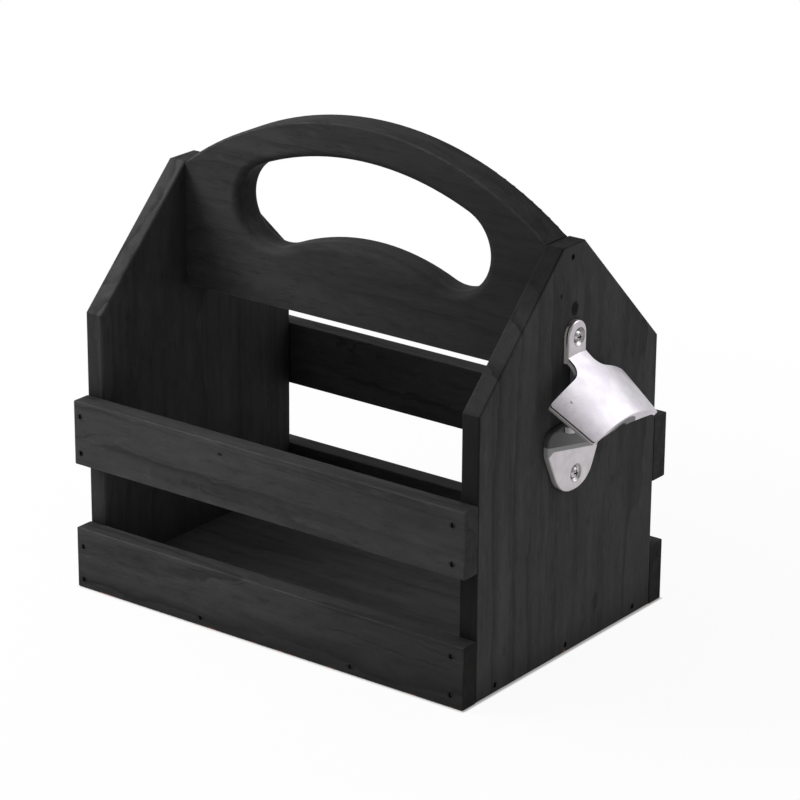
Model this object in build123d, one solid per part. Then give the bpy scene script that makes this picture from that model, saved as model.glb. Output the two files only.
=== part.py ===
from build123d import *
import os
from math import asin, cos, degrees, radians, sin, sqrt

# A caddy with two long bays, nailed together from stained pine boards.
# Two gabled end panels stand at the ends of a floor board. Two slats run along each
# long side, over the panels' edges. A thick arched board with a hand slot joins the
# tops of the panels and parts the bays. A steel opener is screwed to the right panel.
# Lengths are in millimetres. X runs along the caddy, the front faces -Y and Z is up.
# The origin is under the middle of the wooden body, on the surface it stands on.

# Wooden body
body_length = 228.0
panel_width = 140.0
panel_thickness = 10.0
shoulder_height = 136.0
floor_thickness = 8.0

# Side slats
slat_thickness = 10.0
lower_slat_height = 30.5
upper_slat_height = 32.0
slat_gap = 32.3

# Handle board
handle_thickness = 17.0
arch_height = 232.0
arch_rise = 35.0
grip_depth = 17.0
slot_height = 40.5
slot_length = 145.0
handle_rail_depth = 28.0
slot_round = 4.0
arch_ease = 1.0

# Eased edges
panel_ease = 1.2
slat_ease = 0.6
floor_ease = 0.6

# Brads with narrow heads, set below the surface in pits of their own shape
brad_length = 20.0
brad_radius = 0.6
brad_point = 2.0
brad_tip_share = 0.25
brad_head_long = 2.2
brad_head_short = 1.6
brad_head_thickness = 0.8
brad_set = 0.9
brad_clearance = 0.05
brad_left_inset = 4.0
brad_right_inset = 6.8
brad_edge_inset = 7.4
lower_brad_inset = 5.2
upper_brad_inset = 6.1
lower_brad_skew = 1.8
floor_brad_left = 37.5
floor_brad_right = 51.0
panel_floor_brad_spacing = 55.5
peak_brad_inset = 5.5
peak_brad_shift = 1.5

# Opener plate, flat on the right panel
opener_thickness = 2.7
opener_ease = 0.9
opener_drop = 35.0
tab_width = 13.8
tab_length = 15.4
mouth_height = 33.1
web_width = 3.0
tongue_foot_width = 21.0
tongue_foot_round = 15.0
tongue_hip_drop = 10.5
tongue_hip_round = 10.0
tongue_width = 42.0
tongue_length = 32.2
tongue_corner = 4.0
tongue_crown_rise = 2.2
tongue_crown_round = 20.0
ledge_width = 18.0
ledge_reach = 3.8
ledge_height = 2.7
ledge_lift = 0.8
ledge_round = 2.4

# Opener hood, an arched plate that slopes out and down from the crease
hood_angle = 37.7
hood_arch_radius = 54.0
hood_edge_thickness = 2.5
hood_back_width = 57.8
hood_lip_width = 50.0
hood_lip_distance = 39.5
hood_lip_hollow = 2.7
hood_neck_distance = 9.0
hood_shoulder_distance = 13.4
hood_neck_round = 7.0
hood_shoulder_round = 1.5
hood_lip_round = 2.5
hood_rim_length = 6.0
hood_rim_depth = 9.0
hood_rim_radius = 98.0
hood_notch_radius = 4.5
hood_notch_drop = 10.5

# Oval-head screws of the opener
upper_screw_inset = 7.8
lower_screw_inset = 7.9
screw_side_shift = 1.0
screw_length = 12.0
screw_radius = 1.7
screw_point = 2.5
screw_head_radius = 2.9
screw_head_sink = 1.3
screw_dome_rise = 0.6
screw_crown_share = 0.75
screw_clearance = 0.1
screw_hole_spare = 0.4
recess_length = 3.2
recess_width = 0.8
recess_depth = 1.3

# One overrun carries every cut past the surface it starts or ends on.
overrun = 1.0

half_length = body_length / 2
inner_half = half_length - panel_thickness
half_width = panel_width / 2
outer_half = half_width + slat_thickness
upper_slat_bottom = lower_slat_height + slat_gap
upper_slat_top = upper_slat_bottom + upper_slat_height
slat_spans = {"lower": (0, lower_slat_height), "upper": (upper_slat_bottom, upper_slat_top)}

peak_height = arch_height - arch_rise
arch_radius = (inner_half**2 + arch_rise**2) / (2 * arch_rise)
arch_centre_height = arch_height - arch_radius
slot_radius = arch_radius - grip_depth - slot_height / 2
slot_half_angle = degrees(asin((slot_length - slot_height) / 2 / slot_radius))
slot_end_height = arch_centre_height + slot_radius * cos(radians(slot_half_angle))
handle_bottom_height = slot_end_height - slot_height / 2 - handle_rail_depth

opener_top_height = peak_height - opener_drop
crease_height = opener_top_height - tab_length
tongue_top_height = crease_height - mouth_height
opener_bottom_height = tongue_top_height - tongue_length
tab_centre_height = opener_top_height - tab_width / 2
upper_screw_height = opener_top_height - upper_screw_inset
lower_screw_height = opener_bottom_height + lower_screw_inset


def side_brad_at(x, y_side, z):
    """Frame on a long side, with its Z axis out of the wood and its Y axis upright."""
    return Plane(origin=(x, y_side * outer_half, z), x_dir=(-y_side, 0, 0), z_dir=(0, y_side, 0))


def end_brad_at(x_side, y, z):
    """Frame on an end panel, with its Z axis out of the wood and its Y axis upright."""
    return Plane(origin=(x_side * half_length, y, z), x_dir=(0, x_side, 0), z_dir=(x_side, 0, 0))


def brad_body(clearance):
    """Flat-headed pin that hangs below the frame's origin, grown by a clearance."""
    head_top = -brad_set
    shank_top = head_top - brad_head_thickness
    shank_length = brad_length - brad_head_thickness - brad_point
    head = Box(
        brad_head_short + 2 * clearance,
        brad_head_long + 2 * clearance,
        brad_head_thickness + clearance,
        align=(Align.CENTER, Align.CENTER, Align.MAX),
    )
    shank = Cylinder(
        brad_radius + clearance,
        shank_length + brad_head_thickness / 2,
        align=(Align.CENTER, Align.CENTER, Align.MAX),
    )
    point = Cone(
        brad_radius * brad_tip_share + clearance,
        brad_radius + clearance,
        brad_point + clearance,
        align=(Align.CENTER, Align.CENTER, Align.MAX),
    )
    return (
        Pos(0, 0, head_top) * head
        + Pos(0, 0, shank_top + brad_head_thickness / 2) * shank
        + Pos(0, 0, shank_top - shank_length) * point
    )


def brad_cavity():
    """Room for one brad, open at the surface through a pit as wide as its head."""
    pit = Box(
        brad_head_short + 2 * brad_clearance,
        brad_head_long + 2 * brad_clearance,
        brad_set + brad_head_thickness / 2 + overrun,
        align=(Align.CENTER, Align.CENTER, Align.MAX),
    )
    return brad_body(brad_clearance) + Pos(0, 0, overrun) * pit


def slat_brad_frames(y_side, level):
    """Two brads at each end of a slat, into the panels' edges. They were placed by eye,
    nearer the end at the left, and a lower slat's brads sit higher at the right."""
    bottom, top = slat_spans[level]
    low_inset = lower_brad_inset if level == "lower" else upper_brad_inset
    skew = lower_brad_skew if level == "lower" else 0
    frames = []
    for x_side, end_inset in ((-1, brad_left_inset), (1, brad_right_inset)):
        x_brad = x_side * (half_length - end_inset)
        low = bottom + low_inset + x_side * skew / 2
        high = top - brad_edge_inset + x_side * skew
        frames += [side_brad_at(x_brad, y_side, z) for z in (low, high)]
    return frames


def floor_side_brad_frames(y_side):
    """Two brads through a lower slat into the floor board's long edge."""
    places = (y_side * floor_brad_left, -y_side * floor_brad_right)
    return [side_brad_at(x, y_side, floor_thickness / 2) for x in places]


def floor_end_brad_frames(x_side):
    """Three brads through an end panel into the floor board's short edge."""
    places = (-panel_floor_brad_spacing, 0, panel_floor_brad_spacing)
    return [end_brad_at(x_side, y, floor_thickness / 2) for y in places]


def handle_brad_frames(x_side):
    """Two brads through an end panel into the end of the handle board."""
    heights = (handle_bottom_height + brad_edge_inset, peak_height - peak_brad_inset)
    return [end_brad_at(x_side, -peak_brad_shift, z) for z in heights]


def cavities(frames):
    return [frame * brad_cavity() for frame in frames]


def end_panel(x_side):
    """Gabled board whose clipped top is as wide as the handle board is thick."""
    outline = Polyline(
        (-half_width, 0),
        (half_width, 0),
        (half_width, shoulder_height),
        (handle_thickness / 2, peak_height),
        (-handle_thickness / 2, peak_height),
        (-half_width, shoulder_height),
        close=True,
    )
    face = Plane.YZ * make_face(outline)
    board = Pos(x_side * (half_length - panel_thickness / 2), 0, 0) * extrude(
        face, panel_thickness / 2, both=True
    )
    board = fillet(board.edges().filter_by(Axis.X, reverse=True), panel_ease)
    frames = floor_end_brad_frames(x_side) + handle_brad_frames(x_side)
    for y_side in (-1, 1):
        for level in slat_spans:
            frames += slat_brad_frames(y_side, level)
    for cavity in cavities(frames):
        board -= cavity
    if x_side > 0:
        for height in (lower_screw_height, upper_screw_height):
            board -= screw_frame(height) * screw_pilot()
    return board


def side_slat(y_side, level):
    """Flat board over the panels' edges, its ends flush with their outer faces."""
    bottom, top = slat_spans[level]
    board = Pos(0, y_side * (half_width + slat_thickness / 2), (bottom + top) / 2) * Box(
        body_length, slat_thickness, top - bottom
    )
    board = fillet(board.edges(), slat_ease)
    frames = slat_brad_frames(y_side, level)
    if level == "lower":
        frames += floor_side_brad_frames(y_side)
    for cavity in cavities(frames):
        board -= cavity
    return board


def floor_board():
    """Board between the panels and the lower slats, on the ground with them."""
    board = Pos(0, 0, floor_thickness / 2) * Box(2 * inner_half, panel_width, floor_thickness)
    board = fillet(board.edges().filter_by(Axis.X), floor_ease)
    frames = []
    for side in (-1, 1):
        frames += floor_side_brad_frames(side) + floor_end_brad_frames(side)
    for cavity in cavities(frames):
        board -= cavity
    return board


def handle_board():
    """Arched board between the panels, with a well-rounded hand slot that follows the arch."""
    outline = Polyline(
        (-inner_half, peak_height),
        (-inner_half, handle_bottom_height),
        (inner_half, handle_bottom_height),
        (inner_half, peak_height),
    ) + ThreePointArc((inner_half, peak_height), (0, arch_height), (-inner_half, peak_height))
    slot_path = CenterArc(
        (0, arch_centre_height), slot_radius, 90 - slot_half_angle, 2 * slot_half_angle
    )
    face = make_face(outline) - SlotArc(slot_path, slot_height)
    board = extrude(Plane.XZ * face, handle_thickness / 2, both=True)
    arcs = board.edges().filter_by(GeomType.CIRCLE)
    arch_edges = arcs.filter_by(lambda arc: arc.radius > arch_radius - grip_depth / 2)
    board = fillet(arch_edges, arch_ease)
    sides = board.faces().filter_by(Axis.Y).sort_by(Axis.Y)
    rims = sides[0].inner_wires()[0].edges() + sides[-1].inner_wires()[0].edges()
    board = fillet(rims, slot_round)
    for side in (-1, 1):
        for cavity in cavities(handle_brad_frames(side)):
            board -= cavity
    return board


def screw_frame(height):
    """Frame on the opener plate's face, with its Z axis out of the panel."""
    return Plane(
        origin=(half_length + opener_thickness, screw_side_shift, height),
        x_dir=(0, 1, 0),
        z_dir=(1, 0, 0),
    )


def screw_pilot():
    """Hole in the panel for a screw's shank, a little deeper than its point."""
    return Cylinder(
        screw_radius + screw_clearance,
        screw_length + screw_hole_spare,
        align=(Align.CENTER, Align.CENTER, Align.MAX),
    )


def screw_seat():
    """Through hole with a countersink, which a raised head sits down in."""
    hole_radius = screw_radius + screw_clearance
    rim_radius = screw_head_radius + screw_head_sink + screw_clearance
    sink = Cone(
        hole_radius,
        rim_radius + overrun,
        rim_radius + overrun - hole_radius,
        align=(Align.CENTER, Align.CENTER, Align.MAX),
    )
    hole = Cylinder(
        hole_radius,
        opener_thickness + 2 * overrun,
        align=(Align.CENTER, Align.CENTER, Align.MAX),
    )
    return Pos(0, 0, overrun) * (sink + hole)


def screw():
    """Raised countersunk head with a cross recess, a plain core and a point."""
    head_foot = screw_head_sink + screw_head_radius - screw_radius
    profile = Polyline(
        (0, screw_dome_rise),
        (0, -screw_length),
        (screw_radius, screw_point - screw_length),
        (screw_radius, -head_foot),
        (screw_head_radius, -screw_head_sink),
    )
    crown_drop = (screw_dome_rise + screw_head_sink) * (1 - screw_crown_share)
    crown = ThreePointArc(
        (screw_head_radius, -screw_head_sink),
        (screw_head_radius / 2, screw_dome_rise - crown_drop),
        (0, screw_dome_rise),
    )
    body = revolve(Plane.XZ * make_face(profile + crown), Axis.Z)
    arm = Box(
        recess_length,
        recess_width,
        recess_depth + overrun,
        align=(Align.CENTER, Align.CENTER, Align.MIN),
    )
    cross = Pos(0, 0, screw_dome_rise - recess_depth) * (arm + Rot(0, 0, 90) * arm)
    return body - cross


def opener_layer(outline):
    """Flat piece of the opener with this outline, with its back on the panel."""
    return Pos(half_length, 0, 0) * extrude(Plane.YZ * outline, opener_thickness)


def eased_plate(outline):
    """The same, with its outer edges rounded over."""
    layer = opener_layer(outline)
    return fillet(layer.faces().sort_by(Axis.X)[-1].edges(), opener_ease)


def opener_plate():
    """Tab, web and tongue, one flat plate against the panel, with the mouth's ledge."""
    foot_height = crease_height - opener_thickness / cos(radians(hood_angle))
    strip_length = tab_centre_height - foot_height
    tab = Pos(0, foot_height + strip_length / 2) * Rectangle(tab_width, strip_length)
    tab += Pos(0, tab_centre_height) * Circle(tab_width / 2)
    hip_height = tongue_top_height - tongue_hip_drop
    side = [
        (tongue_foot_width / 2, opener_bottom_height),
        (tongue_width / 2, hip_height),
        (tongue_width / 2, tongue_top_height),
    ]
    crown = (0, tongue_top_height + tongue_crown_rise)
    other_side = [(-x, y) for x, y in reversed(side)]
    rounds = [tongue_foot_round, tongue_hip_round, tongue_corner]
    all_rounds = rounds + [tongue_crown_round] + rounds[::-1]
    tongue = make_face(
        FilletPolyline(*side, crown, *other_side, radius=all_rounds, close=True)
    )
    web_length = foot_height + web_width / 2 - hip_height
    web = Pos(0, hip_height + web_length / 2) * Rectangle(web_width, web_length)
    pads = [eased_plate(tab), eased_plate(tongue)]
    plate = pads[0] + pads[1] + opener_layer(web)
    ledge = Box(
        opener_thickness + ledge_reach,
        ledge_width,
        ledge_height,
        align=(Align.MIN, Align.CENTER, Align.MAX),
    )
    ledge = fillet(ledge.edges().filter_by(Axis.Z).group_by(Axis.X)[-1], ledge_round)
    return plate + Pos(half_length, 0, tongue_top_height + ledge_lift) * ledge


def opener_hood():
    """Arched plate cut to a necked outline, which slopes out and down to its lip."""
    slope = radians(hood_angle)
    origin = (half_length + opener_thickness, 0, crease_height)
    normal = (sin(slope), 0, cos(slope))
    down_slope = (cos(slope), 0, -sin(slope))
    outline_plane = Plane(origin=origin, x_dir=(0, -1, 0), z_dir=normal)
    arch_plane = Plane(origin=origin, x_dir=(0, 1, 0), z_dir=down_slope)
    neck = tab_width / 2
    half_lip = hood_lip_width / 2
    right = [
        (neck, 0),
        (neck, hood_neck_distance),
        (hood_back_width / 2, hood_shoulder_distance),
        (half_lip, hood_lip_distance),
    ]
    left = [(-x, y) for x, y in reversed(right)]
    rounds = [hood_neck_round, hood_shoulder_round, hood_lip_round]
    hollow_radius = (half_lip**2 + hood_lip_hollow**2) / (2 * hood_lip_hollow)
    outline = FilletPolyline(*right, *left, radius=rounds + rounds[::-1])
    shape = make_face(outline + Line(left[-1], right[0]))
    shape -= Pos(0, hood_lip_distance - hood_lip_hollow + hollow_radius) * Circle(hollow_radius)
    prism = extrude(outline_plane * shape, hood_arch_radius / 2, both=True)
    half_back = hood_back_width / 2
    under_sag = circle_sag(hood_arch_radius, half_back) + hood_edge_thickness - opener_thickness
    under_radius = (half_back**2 + under_sag**2) / (2 * under_sag)
    over = Pos(0, -hood_arch_radius) * Circle(hood_arch_radius)
    under = Pos(0, -opener_thickness - under_radius) * Circle(under_radius)
    shell = extrude(arch_plane * (over - under), hood_lip_distance + overrun)
    return (shell + hood_rim(arch_plane, over)) & prism


def circle_sag(radius, half_chord):
    return radius - sqrt(radius**2 - half_chord**2)


def hood_rim(arch_plane, over):
    """Thicker rim behind the lip, nearly flat below, with a round notch in its middle."""
    bed = Pos(0, hood_rim_radius - hood_rim_depth) * Circle(hood_rim_radius)
    notch = Pos(0, -hood_notch_drop) * Circle(hood_notch_radius)
    start = arch_plane.offset(hood_lip_distance - hood_rim_length)
    return extrude(start * ((over & bed) - notch), hood_rim_length + overrun)


def bottle_opener():
    """Plate and hood in one piece, with a countersunk hole near each end."""
    opener = opener_plate() + opener_hood()
    for height in (lower_screw_height, upper_screw_height):
        opener -= screw_frame(height) * screw_seat()
    return opener


def brads(frames):
    return [frame * brad_body(0) for frame in frames]


def caddy_parts():
    """Every node of the caddy, as a name and its solid or group of solids."""
    parts = {
        "floor_board": [floor_board()],
        "handle_board": [handle_board()],
        "bottle_opener": [bottle_opener()],
        "opener_screw_lower": [screw_frame(lower_screw_height) * screw()],
        "opener_screw_upper": [screw_frame(upper_screw_height) * screw()],
    }
    for name, x_side in (("left", -1), ("right", 1)):
        parts["end_panel_" + name] = [end_panel(x_side)]
        parts["brads_floor_" + name] = brads(floor_end_brad_frames(x_side))
        parts["brads_handle_" + name] = brads(handle_brad_frames(x_side))
    for name, y_side in (("front", -1), ("back", 1)):
        parts["brads_floor_" + name] = brads(floor_side_brad_frames(y_side))
        for level in slat_spans:
            parts["slat_" + name + "_" + level] = [side_slat(y_side, level)]
            parts["brads_slat_" + name + "_" + level] = brads(slat_brad_frames(y_side, level))
    return parts


os.makedirs("parts", exist_ok=True)
for node, bodies in caddy_parts().items():
    solids = [solid for body in bodies for solid in body.solids()]
    export_step(Compound(children=solids), "parts/" + node + ".step")
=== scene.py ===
from functools import reduce
from math import cos, radians, sin

import bpy
from mathutils import Matrix, Vector


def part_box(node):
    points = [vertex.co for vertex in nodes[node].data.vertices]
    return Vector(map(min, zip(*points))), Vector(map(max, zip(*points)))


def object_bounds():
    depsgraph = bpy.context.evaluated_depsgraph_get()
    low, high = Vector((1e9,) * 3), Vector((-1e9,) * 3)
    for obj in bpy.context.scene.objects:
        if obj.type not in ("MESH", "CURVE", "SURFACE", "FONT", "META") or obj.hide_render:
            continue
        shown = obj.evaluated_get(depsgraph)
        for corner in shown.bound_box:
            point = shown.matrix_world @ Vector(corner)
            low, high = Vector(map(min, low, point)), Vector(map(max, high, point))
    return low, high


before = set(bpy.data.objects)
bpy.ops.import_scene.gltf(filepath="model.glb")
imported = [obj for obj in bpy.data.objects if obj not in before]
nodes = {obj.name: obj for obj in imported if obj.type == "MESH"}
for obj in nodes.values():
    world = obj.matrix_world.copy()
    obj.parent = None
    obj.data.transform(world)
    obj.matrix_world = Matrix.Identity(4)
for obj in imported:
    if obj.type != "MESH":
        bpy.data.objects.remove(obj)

cad_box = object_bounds()

# Lengths are in metres, in the frame of the CAD model
MILLIMETRE = 0.001
WHITE = (1, 1, 1, 1)

# Half of the length and half of the width of the ground that the boards cover
HALF_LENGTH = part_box("end_panel_right")[1][0]
HALF_WIDTH = cad_box[1][1]

# The camera's place and lens, from a fit to the caddy's corners
IMAGE_SIZE = 800
CAMERA_PLACE = (0.92898, -1.21092, 0.66319)
CAMERA_YAW = 36.955
CAMERA_PITCH = 20.326
CAMERA_ROLL = 0.431
FOCAL_PIXELS = 3473.4
SENSOR_WIDTH = 36.0


def aim_camera():
    yaw, pitch, roll = (radians(a) for a in (CAMERA_YAW, CAMERA_PITCH, CAMERA_ROLL))
    forward = Vector((-sin(yaw) * cos(pitch), cos(yaw) * cos(pitch), -sin(pitch)))
    level = Vector((cos(yaw), sin(yaw), 0))
    over = level.cross(forward)
    right = level * cos(roll) + over * sin(roll)
    up = over * cos(roll) - level * sin(roll)
    data = bpy.data.cameras.new("photo_camera")
    data.sensor_width = SENSOR_WIDTH
    data.lens = FOCAL_PIXELS / IMAGE_SIZE * SENSOR_WIDTH
    data.clip_start = 0.01
    data.clip_end = 50
    camera = bpy.data.objects.new("photo_camera", data)
    turn = Matrix((right, up, -forward)).transposed().to_4x4()
    camera.matrix_world = Matrix.Translation(CAMERA_PLACE) @ turn
    bpy.context.scene.collection.objects.link(camera)
    bpy.context.scene.camera = camera


class NodeTree:
    """A node tree, with short calls for the nodes that the finishes and the light use."""

    def __init__(self, tree):
        self.tree = tree

    def fill(self, node, inputs):
        """Sets a node's inputs: another node's output is linked, a plain value is written."""
        for key, value in inputs.items():
            if isinstance(value, bpy.types.NodeSocket):
                self.tree.links.new(value, node.inputs[key])
            else:
                node.inputs[key].default_value = value

    def add(self, kind, inputs=None, **settings):
        made = self.tree.nodes.new("ShaderNode" + kind)
        for key, value in settings.items():
            setattr(made, key, value)
        self.fill(made, inputs or {})
        return made

    def math(self, operation, *values):
        return self.add("Math", dict(enumerate(values)), operation=operation).outputs[0]

    def vector(self, operation, *values):
        made = self.add("VectorMath", dict(enumerate(values)), operation=operation)
        return made.outputs["Value" if operation in ("DOT_PRODUCT", "LENGTH") else "Vector"]

    def split(self, vector):
        """The X, Y and Z of a vector."""
        return self.add("SeparateXYZ", {"Vector": vector}).outputs

    def fold(self, operation, values):
        """Takes a math operation through all the values, from left to right."""
        return reduce(lambda so_far, value: self.math(operation, so_far, value), values)

    def total(self, *values):
        return self.fold("ADD", values)

    def product(self, *values):
        return self.fold("MULTIPLY", values)

    def most(self, *values):
        return self.fold("MAXIMUM", values)

    def length(self, *legs):
        """The distance that two legs at a right angle span."""
        return self.math("SQRT", self.total(*(self.product(leg, leg) for leg in legs)))

    def span(self, value, low, high, out_low=0.0, out_high=1.0):
        """Carries low..high smoothly to out_low..out_high, held at both ends."""
        inputs = {"Value": value, "From Min": low, "From Max": high, "To Min": out_low, "To Max": out_high}
        return self.add("MapRange", inputs, interpolation_type="SMOOTHSTEP").outputs["Result"]

    def band(self, value, rise, fall):
        """1 from the end of a rise to the start of a fall, and 0 outside them."""
        return self.product(self.span(value, *rise), self.span(value, *fall, 1.0, 0.0))

    def between(self, share, low, high):
        """The number that lies between two by a share."""
        return self.add("Mix", {"Factor": share, "A": low, "B": high}).outputs["Result"]

    def mix(self, share, low, high, blend="MIX"):
        """The colour that lies between two by a share."""
        inputs = {"Factor": share, "A": low, "B": high}
        return self.add("Mix", inputs, data_type="RGBA", blend_type=blend).outputs["Result"]

    def blend(self, share, low, high):
        """The shader that lies between two by a share."""
        return self.add("MixShader", {"Fac": share, 1: low, 2: high}).outputs[0]


class Shader(NodeTree):
    """A material. Its tone is the colour so far, over which more colours are laid."""

    def __init__(self, name):
        self.material = bpy.data.materials.new(name)
        self.material.use_nodes = True
        super().__init__(self.material.node_tree)
        self.surface = self.tree.nodes["Principled BSDF"]
        self.place = self.add("TexCoord").outputs["Object"]
        self.tone = WHITE

    def noise(self, place, scale, detail=2.0, roughness=0.5):
        inputs = {"Vector": place, "Scale": scale, "Detail": detail, "Roughness": roughness}
        return self.add("TexNoise", inputs).outputs["Fac"]

    def ramp(self, value, stops):
        made = self.add("ValToRGB", {"Fac": value})
        points = made.color_ramp.elements
        while len(points) < len(stops):
            points.new(0.5)
        for point, (place, level) in zip(points, stops):
            point.position = place
            point.color = grey(level)
        return made.outputs["Color"]

    def crevice(self, reach, low, high, share=1.0, samples=8):
        """A share where other surfaces within reach shut a place in, and 0 in the open."""
        openness = self.add("AmbientOcclusion", {"Distance": reach}, samples=samples).outputs["AO"]
        return self.span(openness, low, high, share, 0.0)

    def lay(self, share, colour, blend="MIX"):
        """Lays a colour over the tone by a share."""
        self.tone = self.mix(share, self.tone, colour, blend)

    def finish(self, inputs):
        """Puts the tone and the other inputs on the surface."""
        self.fill(self.surface, {"Base Color": self.tone, **inputs})
        return self.material


def grey(level, warmth=0.0):
    return (level * (1 + warmth), level, level * (1 - warmth), 1)


# The charcoal stain, thin enough for the pine's grain to show: its usual tone, where the wood
# took up little of it, and where it took up much; the last also serves as painted shade toward a board's
# far end
STAINS = (0.041, 0.058, 0.016)
# The light tone of worn corners and arrises, which is also a painted highlight there
RUBBED_AND_LIT = grey(0.15, 0.03)
# The darkest tone: stain in cracks, rings and round brads, and painted shade in crevices, pits, sheltered
# places and on the panels' edges
STAIN_AND_SHADE_DARK = grey(0.006)
KNOT_DARK = (0.010, 0.009, 0.008, 1)
BARE_WOOD = (0.26, 0.085, 0.06, 1)

# The noises in the wood's figure: their rates per metre along and across the grain, detail and
# roughness
STREAK = (5.0, 170.0, 4.0, 0.62)
CLOUD = (14.0, 60.0, 4.0, 0.6)
MOTTLE = (90.0, 260.0, 4.0, 0.6)
FIBRE = (70.0, 2600.0, 3.0, 0.7)
FLECK = (110.0, 1700.0, 1.0, 0.5)
RING_DRIFT = (4.0, 9.0, 3.0, 0.5)
RING_SWELL = (1.0, 60.0, 1.0, 0.5)
RING_RIPPLE = (26.0, 22.0, 4.0, 0.55)
LATE_PALING = (12.0, 90.0, 3.0, 0.5)
HAIRLINE_BEND = (12.0, 30.0, 1.0, 0.5)
HAIRLINE_BREAKS = (30.0, 150.0, 3.0, 0.5)
# How far a seed of 1 moves the noises
SEED_STEPS = (0.37, 0.23, 0.61)

# How far the rings drift, and how many ring widths they swell and ripple by
DRIFT_WIDTH = 0.030
SWELL_TURNS = 1.6
RIPPLE_TURNS = 0.9
# How many times its own size away a knot still bends the rings
KNOT_BEND = 8.0
# Late wood across one ring: places from 0 to 1, and how dark it is there
LATE_STOPS = ((0.0, 0.0), (0.58, 0.08), (0.90, 1.0), (0.94, 0.0))
HAIRLINES_PER_RING = 3.7
HAIRLINE_HALF = 0.09

# The dark mark round a brad's head, stain with painted shade in its pit, and how much wider and lower a
# wide one is
HALO_RADIUS = 2.1 * MILLIMETRE
HALO_SHARE = 0.72
WIDE_MARK = (1.35, 1, 0.6)
# The heights between which the painted shade on the sloped edges of the end panels changes, and how dark
# the rings are on them
SLOPE_TOP = (0.160, 0.190)
SLOPE_RINGS = 0.45
# The stretch along X over which painted shade darkens a board toward its far end
FAR_FADE = (-0.09, 0.11)
# The handle's arch; only what lies past this distance from its centre is its outer edge
HANDLE_CENTRE = (0.0, 0.0, 0.060)
HANDLE_INSIDE = 0.166
# How round a rubbed corner looks, where a painted highlight lies too, and how near other surfaces must be
# for painted shade in a pit or a shelter
CORNER_RADIUS = 0.9 * MILLIMETRE
PIT_REACH = 2.5 * MILLIMETRE
SHELTER_REACH = 22 * MILLIMETRE
# The heights at which the foot's frayed wood fades out
FRAY_TOP = (0.2 * MILLIMETRE, 0.9 * MILLIMETRE)
WOOD_RELIEF = 0.14 * MILLIMETRE


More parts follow.
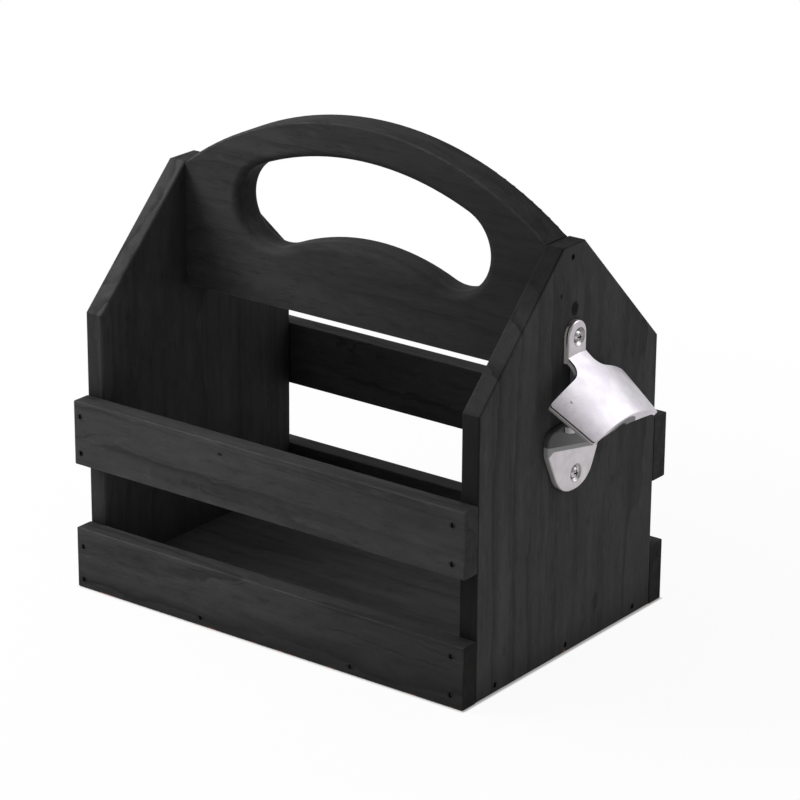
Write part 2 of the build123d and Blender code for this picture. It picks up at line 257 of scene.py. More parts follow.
class StainedPine(Shader):
    """The finish of one board. Its growth rings are shells round a pith line that runs along
    the grain, so a face shows streaks or long arches and an end shows arcs, as a sawn board
    does. Its broad faces look along one axis."""

    def __init__(self, name, axis, pith, ring, seed, broad, tone_share, knots):
        super().__init__(name)
        self.axis = axis
        self.pith = pith
        self.ring = ring
        self.parts = self.split(self.place)
        self.moved = self.vector("ADD", self.place, tuple(seed * step for step in SEED_STEPS))
        self.normal = self.add("NewGeometry").outputs["Normal"]
        self.facing = self.split(self.normal)
        self.flat = self.math("ABSOLUTE", self.facing[broad])
        self.stain, self.light, self.deep = (grey(level * tone_share) for level in STAINS)
        turns = self.ring_turns(knots)
        self.late = self.late_wood(turns)
        self.hairline = self.hairlines(turns)
        self.knot = self.knot_shade(knots)
        self.streak = self.drawn_out(STREAK)
        self.mottle = self.drawn_out(MOTTLE)
        self.fibre = self.drawn_out(FIBRE)
        self.fleck = self.span(self.drawn_out(FLECK), 0.62, 0.72)

    def drawn_out(self, figure):
        """Noise drawn out along the grain."""
        along, across, detail, roughness = figure
        rates = tuple(along if axis == self.axis else across for axis in "XYZ")
        return self.noise(self.vector("MULTIPLY", self.moved, rates), 1.0, detail, roughness)

    def ring_turns(self, knots):
        """How many rings lie between a point and the pith; they drift and swell past a knot."""
        across = [axis for axis in "XYZ" if axis != self.axis]
        legs = [self.math("SUBTRACT", self.parts[axis], mid) for axis, mid in zip(across, self.pith)]
        drift = self.math("SUBTRACT", self.drawn_out(RING_DRIFT), 0.5)
        legs[0] = self.total(legs[0], self.product(drift, DRIFT_WIDTH))
        radius = self.length(*legs)
        for centre, size, pull in knots:
            bend = self.span(self.reach(centre, size), 0.0, KNOT_BEND, pull, 0.0)
            radius = self.total(radius, bend)
        swell = self.product(self.drawn_out(RING_SWELL), SWELL_TURNS)
        ripple = self.product(self.drawn_out(RING_RIPPLE), RIPPLE_TURNS)
        return self.total(self.math("DIVIDE", radius, self.ring), swell, ripple)

    def late_wood(self, turns):
        """Dark late wood, which fades in across a ring, ends sharply and pales in places."""
        late = self.ramp(self.math("FRACT", turns), LATE_STOPS)
        return self.product(late, self.span(self.drawn_out(LATE_PALING), 0.38, 0.62, 0.25, 1.0))

    def hairlines(self, turns):
        """Thin dark lines that follow the rings and break off."""
        closer = self.total(self.product(turns, HAIRLINES_PER_RING), self.drawn_out(HAIRLINE_BEND))
        off = self.math("ABSOLUTE", self.math("SUBTRACT", self.math("FRACT", closer), 0.5))
        line = self.span(off, 0.0, HAIRLINE_HALF, 1.0, 0.0)
        return self.product(line, self.span(self.drawn_out(HAIRLINE_BREAKS), 0.50, 0.64))

    def reach(self, centre, size):
        """How far a point lies from a centre, as a multiple of a size along each axis."""
        leg = self.vector("SUBTRACT", self.place, centre)
        return self.vector("LENGTH", self.vector("DIVIDE", leg, size))

    def knot_shade(self, knots):
        """1 in the knots, or in chips that are given in the same way."""
        shades = []
        for centre, size, _ in knots:
            ragged = self.product(self.noise(self.place, 900.0), 0.5)
            off = self.total(self.reach(centre, size), ragged)
            shades.append(self.span(off, 0.9, 1.45, 1.0, 0.0))
        return self.most(0.0, *shades)

    def spots(self, centres, radius, stretch=(1, 1, 1)):
        """Soft spots, such as the stain that soaks in round a brad, drawn out by a stretch."""
        shades = []
        for centre in centres:
            ragged = self.product(self.noise(self.place, 700.0), 0.6 * radius)
            off = self.total(self.reach(centre, stretch), ragged)
            shades.append(self.span(off, 0.7 * radius, 1.4 * radius, 1.0, 0.0))
        return self.most(0.0, *shades)

    def end_share(self):
        """1 on end grain, 0 on the faces along the grain."""
        along = tuple(float(axis == self.axis) for axis in "XYZ")
        facing = self.math("ABSOLUTE", self.vector("DOT_PRODUCT", self.normal, along))
        return self.span(facing, 0.75, 0.98)

    def lay_figure(self, rings, cracks, end_dark):
        """The wood's own figure: streaks, clouds, mottling, rings, hairlines, fibres and knots."""
        cloud = self.drawn_out(CLOUD)
        self.tone = self.mix(self.span(self.streak, 0.20, 0.52, 0.45, 1.0), self.deep, self.stain)
        self.lay(self.span(cloud, 0.42, 0.70, 0.0, 0.75), self.light)
        self.lay(self.span(self.mottle, 0.46, 0.28, 0.0, 0.40), self.deep)
        self.lay(self.span(self.mottle, 0.54, 0.70, 0.0, 0.65), self.light)
        self.lay(self.product(self.late, rings), self.deep)
        self.lay(self.product(self.hairline, cracks), STAIN_AND_SHADE_DARK)
        self.lay(self.span(self.fibre, 0.35, 0.70, 0.25, 0.0), self.light)
        self.lay(self.product(self.fleck, 0.35), self.deep)
        self.lay(self.product(self.end_share(), end_dark), KNOT_DARK)
        self.lay(self.knot, KNOT_DARK)

    def rub_and_light_corners(self):
        """Stain rubbed off in patches where the surface turns sharply, laid also as a painted highlight
        there.
        """
        rounded = self.add("Bevel", {"Radius": CORNER_RADIUS}, samples=6).outputs["Normal"]
        turn = self.math("SUBTRACT", 1.0, self.vector("DOT_PRODUCT", self.normal, rounded))
        patchy = self.span(self.noise(self.place, 260.0, 5.0), 0.28, 0.58)
        self.lay(self.product(self.span(turn, 0.02, 0.12, 0.0, 0.35), patchy), RUBBED_AND_LIT)

    def shade_sawn_edges(self, upright, sloped):
        """Painted shade on the edges between the broad faces: the upright ones by one share,
        the sloped ones by a share that changes with height, and there the rings show."""
        on_edge = self.span(self.flat, 0.60, 0.96, 1.0, 0.0)
        raised = self.span(self.math("ABSOLUTE", self.facing["Z"]), 0.2, 0.4)
        higher = self.span(self.parts["Z"], *SLOPE_TOP, *sloped)
        self.lay(self.product(on_edge, self.between(raised, upright, higher)), STAIN_AND_SHADE_DARK)
        self.lay(self.product(on_edge, raised, self.late, SLOPE_RINGS), STAIN_AND_SHADE_DARK)

    def darken_far_end(self, share):
        # Painted shade, deeper toward the board's far end
        self.lay(self.span(self.parts["X"], *FAR_FADE, 0.0, share), self.deep)

    def wear_and_light_arrises(self, share, past):
        """A light, patchy band along the arrises beside the broad faces, wear with a painted
        highlight. On the handle it is kept to what lies past a distance from its arch's centre, so
        the slot has none."""
        turned = self.band(self.flat, (0.25, 0.60), (0.65, 0.97))
        patchy = self.span(self.noise(self.place, 90.0, 4.0), 0.36, 0.56, 0.15, 1.0)
        band_share = self.product(turned, patchy)
        if past:
            leg = self.vector("SUBTRACT", self.place, HANDLE_CENTRE)
            out = self.vector("LENGTH", self.vector("MULTIPLY", leg, (1, 0, 1)))
            band_share = self.product(band_share, self.math("GREATER_THAN", out, past))
        self.lay(self.product(band_share, share), RUBBED_AND_LIT)

    def darken_round_brads(self, brads, wide_brads):
        """Stain round the brads' heads, and painted shade in their pits."""
        round_marks = self.spots(brads, HALO_RADIUS)
        wide_marks = self.spots(wide_brads, HALO_RADIUS, WIDE_MARK)
        self.lay(self.product(self.most(round_marks, wide_marks), HALO_SHARE), STAIN_AND_SHADE_DARK)

    def shade_hollows(self, sheltered_shade):
        """Painted shade: darker in crevices and pits, and in sheltered places."""
        self.lay(self.crevice(PIT_REACH, 0.15, 0.75, share=0.9), STAIN_AND_SHADE_DARK)
        self.lay(self.crevice(SHELTER_REACH, 0.45, 0.97, share=sheltered_shade, samples=6), STAIN_AND_SHADE_DARK)

    def bare_wood(self, chips):
        """Wood frayed bare along the foot, and chips."""
        low = self.span(self.parts["Z"], *FRAY_TOP, 1.0, 0.0)
        patchy = self.span(self.noise(self.place, 90.0, 5.0), 0.48, 0.60)
        self.lay(self.product(low, patchy, 0.7), BARE_WOOD)
        self.lay(self.knot_shade(chips), BARE_WOOD)

    def relief(self):
        """The bump that the figure gives the face."""
        heights = (
            (self.late, 0.4), (self.fibre, 0.5), (self.fleck, -0.6), (self.mottle, 0.9),
            (self.hairline, -0.8), (self.knot, -1.2),
        )
        height = self.total(*(self.product(part, share) for part, share in heights))
        inputs = {"Height": height, "Strength": 0.6, "Distance": WOOD_RELIEF}
        return self.add("Bump", inputs).outputs["Normal"]


def stained_wood(name, axis, pith, ring, seed, broad="Y", tone_share=1.0, knots=(), rings=0.75,
                 cracks=0.5, end_dark=0.4, sawn=0.0, sloped=(0.0, 0.0), far_end_shade=0.0, arris=0.22,
                 arris_past=0.0, brads=(), wide_brads=(), sheltered_shade=0.6, chips=()):
    """Stained pine, layer by layer: the figure, the stain rubbed off at the corners with a
    painted highlight there, painted shade on the sawn edges, toward the far end and in hollows,
    stain and painted shade round the brad holes, and the wood that shows bare."""
    s = StainedPine(name, axis, pith, ring, seed, broad, tone_share, knots)
    s.lay_figure(rings, cracks, end_dark)
    s.rub_and_light_corners()
    # Painted shade on the edges between the broad faces
    if sawn:
        s.shade_sawn_edges(sawn, sloped)
    if far_end_shade:
        s.darken_far_end(far_end_shade)
    s.wear_and_light_arrises(arris, arris_past)
    s.darken_round_brads(brads, wide_brads)
    # Painted shade in crevices, pits and sheltered places
    s.shade_hollows(sheltered_shade)
    s.bare_wood(chips)
    return s.finish({
        "Roughness": s.span(s.streak, 0.3, 0.7, 0.78, 0.64),
        "IOR": 1.15,
        "Normal": s.relief(),
    })


# The opener's outer face, and the slope and arch of its hood, to tell its walls' depth by
PLATE_FACE = 0.1167
CREASE = 0.1466
HOOD_ANGLE = 37.7
HOOD_RADIUS = 0.054
HOOD_START = 0.1 * MILLIMETRE
# Two lines across the tongue: painted shadow of the hood above the first, a painted half
# shadow down to the second, which dips at the plate's sides
SHADOW_LINE = 0.1034
HALF_SHADOW_LINE = 0.1013
LINE_SLOPE = 0.19
DIP_FROM = 0.0165
DIP_TO = 0.0215
DIP = 2.5 * MILLIMETRE
# The painted shadow keeps to the plate's face and lies under its crease: where it fades out,
# outward and upward
MOUTH_OUT = (0.2 * MILLIMETRE, 0.6 * MILLIMETRE)
MOUTH_TOP = (CREASE - 8 * MILLIMETRE, CREASE - 6 * MILLIMETRE)
# The stretch along Y over which the painted shadow gets lighter
MOUTH_SHADOW_FADE = (-0.021, 0.010)
# No side wall but the ledge's stands this near to the middle
LEDGE_REACH = 0.0105
# The depths at which the painted lines on a wall fade in and out, a dark painted reflection and a light
# painted highlight, and the painted highlight on the plate's edges; the dark one's are from where it
# starts
DARK_LINE = ((0.0, 0.2 * MILLIMETRE), (0.6 * MILLIMETRE, 0.95 * MILLIMETRE))
LIGHT_LINE = ((0.85 * MILLIMETRE, 1.0 * MILLIMETRE), (1.35 * MILLIMETRE, 1.6 * MILLIMETRE))
EDGE_HIGHLIGHT_DEPTHS = ((0.05 * MILLIMETRE, 0.2 * MILLIMETRE), (0.65 * MILLIMETRE, 0.85 * MILLIMETRE))
PLATE_LINE_START = 0.8 * MILLIMETRE
HOOD_LINE_START = 0.05 * MILLIMETRE
LINE_WOBBLE = 0.5 * MILLIMETRE
LIGHT_LINE_SHARE = 0.8
# How the painted dark reflection line on the tab's wall comes in with height
LINED_TAB = (0.1500, 0.1535)
# The screws' centres, and the ring of painted shade round their recesses: its radius, share and fade
SCREW_CENTRES = ((0.0010, 0.0892), (0.0010, 0.1542))
RING_RADIUS = 0.0043
RING_SHARE = 0.55
RING_FADE = (0.05 * MILLIMETRE, 0.3 * MILLIMETRE)
DENT = (0.1284, -0.0209, 0.1322)
DENT_RADIUS = 0.0008
DENT_DEPTH = 0.35 * MILLIMETRE
# Painted shade in the middle of the lip's end: how deep its centre lies, how wide and how far out
LIP_SPOT_DEPTH = 0.0138
LIP_SPOT_RADIUS = 0.012
LIP_REACH = 0.0360
LIP_FADE = 0.3 * MILLIMETRE
EDGE_BLUR = 0.2 * MILLIMETRE
DULL_METALLIC = 0.15
DULL_ROUGHNESS = 0.6
STEEL_CREVICE = 1.6 * MILLIMETRE
STEEL_RELIEF = 0.03 * MILLIMETRE

# Steel's tones
SATIN = (0.42, 0.398, 0.435, 1)
SATIN_LIGHT = (0.50, 0.480, 0.51, 1)
SATIN_GRIT = (0.26, 0.245, 0.275, 1)
# Painted light: the plate's faces made lighter than the hood's
PLATE_GAIN = (1.29, 1.27, 1.22, 1)
HOOD_WALL = (0.29, 0.275, 0.275, 1)
# Painted light: the plate's walls made lighter, though they lie in shade
PLATE_WALL = (0.36, 0.35, 0.345, 1)
# Painted light: the lip's end face made lighter
LIP_GAIN = (1.3, 1.28, 1.27, 1)
# Painted highlight where the plate's face turns into its walls
EDGE_HIGHLIGHT_TONE = (0.44, 0.42, 0.415, 1)
# Painted light: the highlight line on the hood's walls, and the ledge's walls
PAINTED_LIGHT_TONE = (0.62, 0.59, 0.58, 1)
# Painted dark reflection along the walls' outer edges
PAINTED_REFLECTION_DARK = (0.012, 0.011, 0.011, 1)
# Painted shade at the rim of each screw's recess
RING_SHADE = (0.10, 0.095, 0.09, 1)
# Painted shade in the middle of the lip's end
LIP_SHADE_TONE = (0.19, 0.185, 0.185, 1)
# The hood's painted shadow in the mouth: its dark tone, the lighter tone it fades to, and the painted half
# shadow below it
MOUTH_SHADOW = (0.055, 0.055, 0.056, 1)
MOUTH_SHADOW_FAR = (0.16, 0.155, 0.155, 1)
MOUTH_HALF_SHADOW = (0.33, 0.325, 0.325, 1)
# Painted shade in the steel's crevices
STEEL_HOLLOW_SHADE = (0.10, 0.095, 0.09, 1)


def blurred(place):
    """The two ends of a soft step at a place."""
    return place - EDGE_BLUR, place + EDGE_BLUR


class SatinSteel(Shader):
    """The opener's steel. It works out how deep a point lies under the outer face of the plate
    or of the hood, and from that where the painted lines on the walls and the painted shadow
    in the mouth lie."""

    def __init__(self, name):
        super().__init__(name)
        self.parts = self.split(self.place)
        self.facing = self.split(self.add("NewGeometry").outputs["Normal"])
        self.sideways = self.math("ABSOLUTE", self.facing["Y"])
        self.side = self.span(self.sideways, 0.62, 0.80)
        self.off_middle = self.math("ABSOLUTE", self.parts["Y"])
        self.smudge = self.noise(self.place, 45.0, 3.0)
        self.out = self.math("SUBTRACT", self.parts["X"], PLATE_FACE)
        # Height over the line of the hood's crown, and reach along it from the crease
        rise = self.math("SUBTRACT", self.parts["Z"], CREASE)
        slope = radians(HOOD_ANGLE)
        self.height = self.total(self.product(self.out, sin(slope)), self.product(rise, cos(slope)))
        reach = self.total(self.product(self.out, cos(slope)), self.product(rise, -sin(slope)))
        self.on_hood = self.math("GREATER_THAN", self.out, HOOD_START)
        self.off_hood = self.math("SUBTRACT", 1.0, self.on_hood)
        hood_depth = self.product(self.total(self.height, self.hood_sag()), -1.0)
        self.depth = self.between(self.on_hood, self.product(self.out, -1.0), hood_depth)
        self.at_lip = self.product(self.span(reach, LIP_REACH, LIP_REACH + LIP_FADE), self.on_hood)

    def hood_sag(self):
        """How far the hood's arch has fallen below its crown."""
        squared = self.math("SUBTRACT", HOOD_RADIUS ** 2, self.product(self.parts["Y"], self.parts["Y"]))
        return self.math("SUBTRACT", HOOD_RADIUS, self.math("SQRT", squared))

    def painted_wall_lines(self):
        """A painted dark reflection line under a wall's outer edge, and on the hood a painted highlight
        line under it.
        """
        wobble = self.product(self.math("SUBTRACT", self.smudge, 0.5), LINE_WOBBLE)
        near_edge = self.total(self.depth, wobble)
        start = self.between(self.on_hood, PLATE_LINE_START, HOOD_LINE_START)
        below = self.math("SUBTRACT", near_edge, start)
        above_crease = self.math("GREATER_THAN", self.parts["Z"], CREASE)
        on_tab = self.product(above_crease, self.span(self.parts["Z"], *LINED_TAB, 0.15, 1.0))
        lined = self.most(self.on_hood, on_tab)
        dark = self.product(self.band(below, *DARK_LINE), self.side, lined)
        light = self.product(self.band(near_edge, *LIGHT_LINE), self.side, self.on_hood)
        return dark, light

    def painted_edge_highlight(self):
        """A painted, patchy highlight band where the plate's face turns into its walls."""
        turned = self.span(self.sideways, 0.25, 0.45)
        patchy = self.span(self.smudge, 0.30, 0.50, 0.35, 0.9)
        return self.product(self.band(self.depth, *EDGE_HIGHLIGHT_DEPTHS), turned, self.off_hood, patchy)

    def screw_shade_rings(self):
        """A ring of painted shade round each screw's recess."""
        rings = []
        for y, z in SCREW_CENTRES:
            legs = (self.math("SUBTRACT", self.parts["Y"], y), self.math("SUBTRACT", self.parts["Z"], z))
            gap = self.math("ABSOLUTE", self.math("SUBTRACT", self.length(*legs), RING_RADIUS))
            rings.append(self.span(gap, *RING_FADE, 1.0, 0.0))
        return self.most(*rings)

    def lip_shade(self):
        """Painted shade in the middle of the lip's end."""
        off = self.length(self.parts["Y"], self.total(self.height, LIP_SPOT_DEPTH))
        return self.product(self.span(off, *blurred(LIP_SPOT_RADIUS), 1.0, 0.0), self.at_lip)

    def hood_shadow_in_mouth(self):
        """The hood's painted shadow in the mouth, and with it a painted half shadow that reaches a little
        lower.
        """
        level = self.total(self.parts["Z"], self.product(self.parts["Y"], LINE_SLOPE))
        worn_level = self.total(level, self.span(self.off_middle, DIP_FROM, DIP_TO, 0.0, DIP))
        near_face = self.span(self.out, *MOUTH_OUT, 1.0, 0.0)
        in_mouth = self.product(near_face, self.span(self.parts["Z"], *MOUTH_TOP, 1.0, 0.0))
        mouth_shadow_share = self.product(self.span(level, *blurred(SHADOW_LINE)), in_mouth)
        band_share = self.product(self.span(worn_level, *blurred(HALF_SHADOW_LINE)), in_mouth)
        return mouth_shadow_share, band_share

    def relief(self, grit):
        """The blasted face's bump, with a dent in the hood."""
        off = self.vector("LENGTH", self.vector("SUBTRACT", self.place, DENT))
        dent = self.span(off, 0.3 * DENT_RADIUS, DENT_RADIUS, 1.0, 0.0)
        blasted = self.add("Bump", {"Height": grit, "Strength": 0.5, "Distance": STEEL_RELIEF})
        inputs = {"Height": dent, "Strength": 1.0, "Distance": DENT_DEPTH, "Normal": blasted.outputs[0]}
        return self.add("Bump", inputs).outputs["Normal"]


def satin_steel(name):
    """Blasted steel, bright on its faces. Its walls carry a painted dark reflection line under
    the outer edge, and the tongue carries the hood's painted shadow in the mouth, dull in finish."""
    s = SatinSteel(name)
    grit = s.noise(s.place, 2400.0, 3.0, 0.7)
    haze = s.noise(s.place, 160.0, 4.0)
    dark_line, light_line = s.painted_wall_lines()
    mouth_shadow_share, band_share = s.hood_shadow_in_mouth()
    edge = s.product(s.painted_edge_highlight(), s.math("SUBTRACT", 1.0, s.most(band_share, mouth_shadow_share)))
    # Painted shade in the middle of the lip's end
    spot = s.lip_shade()
    on_ledge = s.math("LESS_THAN", s.off_middle, LEDGE_REACH)
    # The walls' tones; the plate's and the ledge's walls are painted lighter, as painted light
    wall = s.mix(on_ledge, s.mix(s.on_hood, PLATE_WALL, HOOD_WALL), PAINTED_LIGHT_TONE)

    s.tone = s.mix(s.span(haze, 0.3, 0.7), SATIN, SATIN_LIGHT)
    s.lay(s.span(grit, 0.35, 0.65, 0.45, 0.0), SATIN_GRIT)
    # Painted light on the plate's faces
    s.lay(s.off_hood, PLATE_GAIN, "MULTIPLY")
    s.lay(s.side, wall)
    # Painted light on the lip's end face
    s.lay(s.product(s.at_lip, s.math("LESS_THAN", s.facing["Z"], 0.2)), LIP_GAIN, "MULTIPLY")
    s.lay(s.product(s.screw_shade_rings(), RING_SHARE), RING_SHADE)
    # The hood's painted half shadow, then its painted shadow, in the mouth
    s.lay(band_share, MOUTH_HALF_SHADOW)
    s.lay(mouth_shadow_share, s.mix(s.span(s.parts["Y"], *MOUTH_SHADOW_FADE), MOUTH_SHADOW, MOUTH_SHADOW_FAR))
    # Painted highlight at the plate's edges
    s.lay(edge, EDGE_HIGHLIGHT_TONE)
    # The painted dark reflection, then the painted highlight line
    s.lay(dark_line, PAINTED_REFLECTION_DARK)
    s.lay(s.product(light_line, LIGHT_LINE_SHARE), PAINTED_LIGHT_TONE)
    # Painted shade in crevices
    s.lay(s.crevice(STEEL_CREVICE, 0.1, 0.7, share=0.45), STEEL_HOLLOW_SHADE)
    s.lay(spot, LIP_SHADE_TONE)

    dull = s.most(s.side, edge, band_share, mouth_shadow_share, spot)
    rough = s.total(s.span(grit, 0.3, 0.7, 0.30, 0.42), s.span(s.smudge, 0.3, 0.7, 0.0, 0.08))
    return s.finish({
        "Metallic": s.math("SUBTRACT", 1.0, s.product(dull, 1.0 - DULL_METALLIC)),
        "Roughness": s.most(rough, s.product(dull, DULL_ROUGHNESS)),
        "Normal": s.relief(grit),
    })


# Tones of the screws and of the brads
PLATED_DEEP = (0.36, 0.35, 0.35, 1)
PLATED_LIGHT = (0.60, 0.59, 0.59, 1)
# Painted shade in the screws' crosses and round their rims
SCREW_HOLLOW_SHADE = (0.03, 0.028, 0.028, 1)
BRAD_BLACK = (0.012, 0.012, 0.012, 1)
BRAD_RUST = (0.035, 0.024, 0.018, 1)
SCREW_CREVICE = 1.2 * MILLIMETRE
SCREW_RELIEF = 0.02 * MILLIMETRE


def bright_steel(name):
    """Plated steel with faint turning marks, and painted shade in its cross and round its rim."""
    s = Shader(name)
    mark = s.noise(s.place, 2400.0, 2.0)
    s.tone = s.mix(s.span(mark, 0.3, 0.7), PLATED_DEEP, PLATED_LIGHT)
    # Painted shade in crevices
    s.lay(s.crevice(SCREW_CREVICE, 0.25, 0.85), SCREW_HOLLOW_SHADE)
    bump = s.add("Bump", {"Height": mark, "Strength": 0.2, "Distance": SCREW_RELIEF})
    return s.finish({
        "Metallic": 1.0,
        "Roughness": s.span(mark, 0.3, 0.7, 0.24, 0.34),
        "Normal": bump.outputs["Normal"],
    })


def brad_steel(name):
    """Dark nail steel, stained over with the boards, with a trace of rust."""
    s = Shader(name)
    speck = s.noise(s.place, 1800.0, 3.0)
    s.tone = s.mix(s.span(speck, 0.45, 0.7), BRAD_BLACK, BRAD_RUST)
    return s.finish({"Metallic": 0.6, "Roughness": s.span(speck, 0.3, 0.7, 0.45, 0.65)})


# How near its outermost points the rest of a brad's head lies, how deep the head is set in the
# wood, and a distance that no two points of one head are apart
HEAD_DEPTH = 0.1 * MILLIMETRE
BRAD_SET = 0.9 * MILLIMETRE
BRAD_SPREAD = 4.0 * MILLIMETRE


def brad_heads(node):
    """The places on the wood's face over the middles of a group's heads."""
    outer = 0 if node.endswith(("left", "right")) else 1
    points = [vertex.co.copy() for vertex in nodes[node].data.vertices]
    side = 1 if sum(point[outer] for point in points) > 0 else -1
    face = max(side * point[outer] for point in points)
    groups = []
    for point in points:
        if side * point[outer] < face - HEAD_DEPTH:
            continue
        for group in groups:
            if (group[0] - point).length < BRAD_SPREAD:
                group.append(point)
                break
        else:
            groups.append([point])
    centres = []
    for group in groups:
        middle = [(min(p[i] for p in group) + max(p[i] for p in group)) / 2 for i in range(3)]
        middle[outer] += side * BRAD_SET
        centres.append(tuple(middle))
    return centres


def heads(*names):
    return [centre for name in names for centre in brad_heads("brads_" + name)]


def dress(node, material):
    mesh = nodes[node].data
    mesh.materials.clear()
    mesh.materials.append(material)


# Knots and chips: centre, half sizes, and how far the rings bend out past them
PANEL_KNOTS = (
    ((HALF_LENGTH, 0.0007, 0.1669), (0.010, 0.0030, 0.0036), 0.003),
    ((HALF_LENGTH, -0.0100, 0.1753), (0.010, 0.0009, 0.0012), 0.0),
)
PANEL_CHIPS = (((HALF_LENGTH, -0.0010, 0.0008), (0.006, 0.0013, 0.0010), 0.0),)
SLAT_KNOTS = (((-0.0245, -HALF_WIDTH, 0.0889), (0.0016, 0.004, 0.0007), 0.0),)
# The slats' rings, and the seeds of the first slat and from each to the next
SLAT_RING = 0.0095
SLAT_SEED = 5.0
SLAT_SEED_STEP = 2.7


def dress_panels():
    panel = {"axis": "Z", "broad": "X", "cracks": 0.15}
    dress("end_panel_right", stained_wood(
        "wood_panel_right", pith=(0.150, 0.030), ring=0.0125, seed=1.0, tone_share=1.42,
        knots=PANEL_KNOTS, arris=0.02, sawn=0.83, sloped=(0.55, 0.88),
        brads=heads("floor_right", "handle_right"), chips=PANEL_CHIPS, **panel))
    dress("end_panel_left", stained_wood(
        "wood_panel_left", pith=(-0.155, -0.02), ring=0.009, seed=2.0, rings=0.5,
        arris=0.05, sawn=0.42, brads=heads("floor_left", "handle_left"), **panel))


def dress_inner_boards():
    dress("handle_board", stained_wood(
        "wood_handle", "X", (0.06, 0.12), 0.0075, 3.0, tone_share=0.77, rings=0.5, cracks=0.2,
        far_end_shade=0.6, arris=0.13, arris_past=HANDLE_INSIDE, sheltered_shade=0.25))
    dress("floor_board", stained_wood("wood_floor", "X", (0.02, -0.07), 0.007, 4.0, cracks=0.3))


def dress_slats():
    looks = {
        "front_upper": {"pith": (-0.13, 0.05), "end_dark": 0.0, "knots": SLAT_KNOTS, "far_end_shade": 0.2},
        "front_lower": {
            "pith": (-0.125, 0.045), "tone_share": 0.94, "rings": 0.8, "end_dark": 1.0, "far_end_shade": 0.5,
        },
        "back_upper": {"pith": (0.13, 0.06), "end_dark": 0.15},
        "back_lower": {"pith": (0.12, -0.03), "tone_share": 0.95, "end_dark": 0.6},
    }
    for index, (place, look) in enumerate(looks.items()):
        side, level = place.split("_")
        wide_brads = heads("floor_" + side) if level == "lower" else ()
        dress("slat_" + place, stained_wood(
            "wood_slat_" + place, "X", ring=SLAT_RING, seed=SLAT_SEED + SLAT_SEED_STEP * index,
            brads=heads("slat_" + place), wide_brads=wide_brads, **look))


def dress_metal():
    dress("bottle_opener", satin_steel("opener_steel"))
    chrome = bright_steel("screw_steel")
    for place in ("upper", "lower"):
        dress("opener_screw_" + place, chrome)
    dark = brad_steel("brad_steel")
    for node in nodes:
        if node.startswith("brads_"):
            dress(node, dark)


FLOOR_HALF = 12.0
FLOOR_DROP = 0.2 * MILLIMETRE
FLOOR_TONES = (grey(0.86), grey(0.88))
# How white the floor stays for the eye near the caddy and at its contact line, where 1 is all
# white, how far out the shadow fades, and how far the contact line reaches
NEAR_WHITE = 0.94
CONTACT_WHITE = 0.25
SHADOW_FADE = (0.16, 0.5)
CONTACT_REACH = 1.6 * MILLIMETRE


def floor_paint(name):
    """Pale paint that stays white for the eye and keeps the object's shadow."""
    s = Shader(name)
    s.tone = s.mix(s.noise(s.place, 30.0), *FLOOR_TONES)
    paint = s.finish({"Roughness": 0.9, "Specular IOR Level": 0.1})
    path = s.add("LightPath").outputs
    seen = s.most(path["Is Camera Ray"], path["Is Glossy Ray"], path["Is Transmission Ray"])
    away = s.vector("LENGTH", s.place)
    past_foot = s.vector("SUBTRACT", s.vector("ABSOLUTE", s.place), (HALF_LENGTH, HALF_WIDTH, 1.0))
    gap = s.vector("LENGTH", s.vector("MAXIMUM", past_foot, (0, 0, 0)))
    contact = s.span(gap, 0.0, CONTACT_REACH, CONTACT_WHITE, 1.0)
    share = s.product(seen, s.span(away, *SHADOW_FADE, NEAR_WHITE, 1.0), contact)
    white = s.add("Emission", {"Color": WHITE, "Strength": 1.0}).outputs[0]
    shown = s.blend(share, s.surface.outputs[0], white)
    s.fill(s.tree.nodes["Material Output"], {"Surface": shown})
    return paint


def white_floor():
    signs = ((-1, -1), (1, -1), (1, 1), (-1, 1))
    corners = [(x * FLOOR_HALF, y * FLOOR_HALF, -FLOOR_DROP) for x, y in signs]
    mesh = bpy.data.meshes.new("studio_floor")
    mesh.from_pydata(corners, [], [(0, 1, 2, 3)])
    mesh.materials.append(floor_paint("studio_floor"))
    floor = bpy.data.objects.new("studio_floor", mesh)
    bpy.context.scene.collection.objects.link(floor)


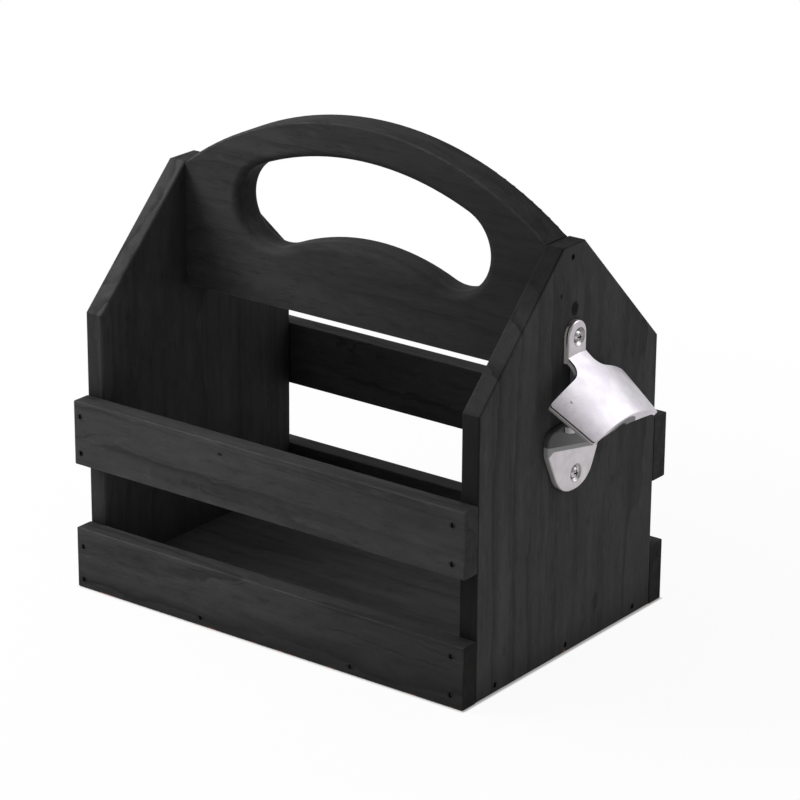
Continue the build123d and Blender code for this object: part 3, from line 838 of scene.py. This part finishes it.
# The room's even light, and the way to the panel behind, which metal mirrors brighter
ROOM_STRENGTH = 0.42
PANEL_STRENGTH = 1.2
PANEL_WAY = (0.19, 0.74, 0.64)
PANEL_FADE = (0.45, 0.85)
LAMP_AIM = Vector((0, 0, 0.1))


def light_world():
    """Even light, with the panel for what mirrors it and plain white for the eye."""
    world = bpy.data.worlds.new("studio")
    world.use_nodes = True
    bpy.context.scene.world = world
    w = NodeTree(world.node_tree)
    path = w.add("LightPath").outputs
    way = w.add("TexCoord").outputs["Generated"]
    toward_panel = w.vector("DOT_PRODUCT", way, Vector(PANEL_WAY).normalized())
    mirrored = w.span(toward_panel, *PANEL_FADE, ROOM_STRENGTH, PANEL_STRENGTH)
    seen = w.most(path["Is Camera Ray"], path["Is Transmission Ray"])
    room = world.node_tree.nodes["Background"]
    w.fill(room, {"Color": WHITE, "Strength": ROOM_STRENGTH})
    shown = room.outputs[0]
    for share, strength in ((path["Is Glossy Ray"], mirrored), (seen, 1.0)):
        layer = w.add("Background", {"Color": WHITE, "Strength": strength})
        shown = w.blend(share, shown, layer.outputs[0])
    w.fill(world.node_tree.nodes["World Output"], {"Surface": shown})


def hang_lamp(name, place, size, power, diffuse):
    """A square lamp that looks at the caddy; without diffuse only glossy surfaces show it."""
    data = bpy.data.lights.new(name, "AREA")
    data.shape = "RECTANGLE"
    data.size = data.size_y = size
    data.energy = power
    lamp = bpy.data.objects.new(name, data)
    lamp.location = place
    lamp.rotation_mode = "QUATERNION"
    lamp.rotation_quaternion = (LAMP_AIM - Vector(place)).to_track_quat("-Z", "Y")
    lamp.visible_diffuse = diffuse
    bpy.context.scene.collection.objects.link(lamp)


dress_panels()
dress_inner_boards()
dress_slats()
dress_metal()
white_floor()
light_world()
hang_lamp("key", (-0.62, -0.38, 0.62), size=0.45, power=7.6, diffuse=True)
hang_lamp("back", (0.58, 0.95, 1.33), size=1.3, power=10.5, diffuse=False)
aim_camera()
bpy.context.scene.view_settings.view_transform = "Standard"
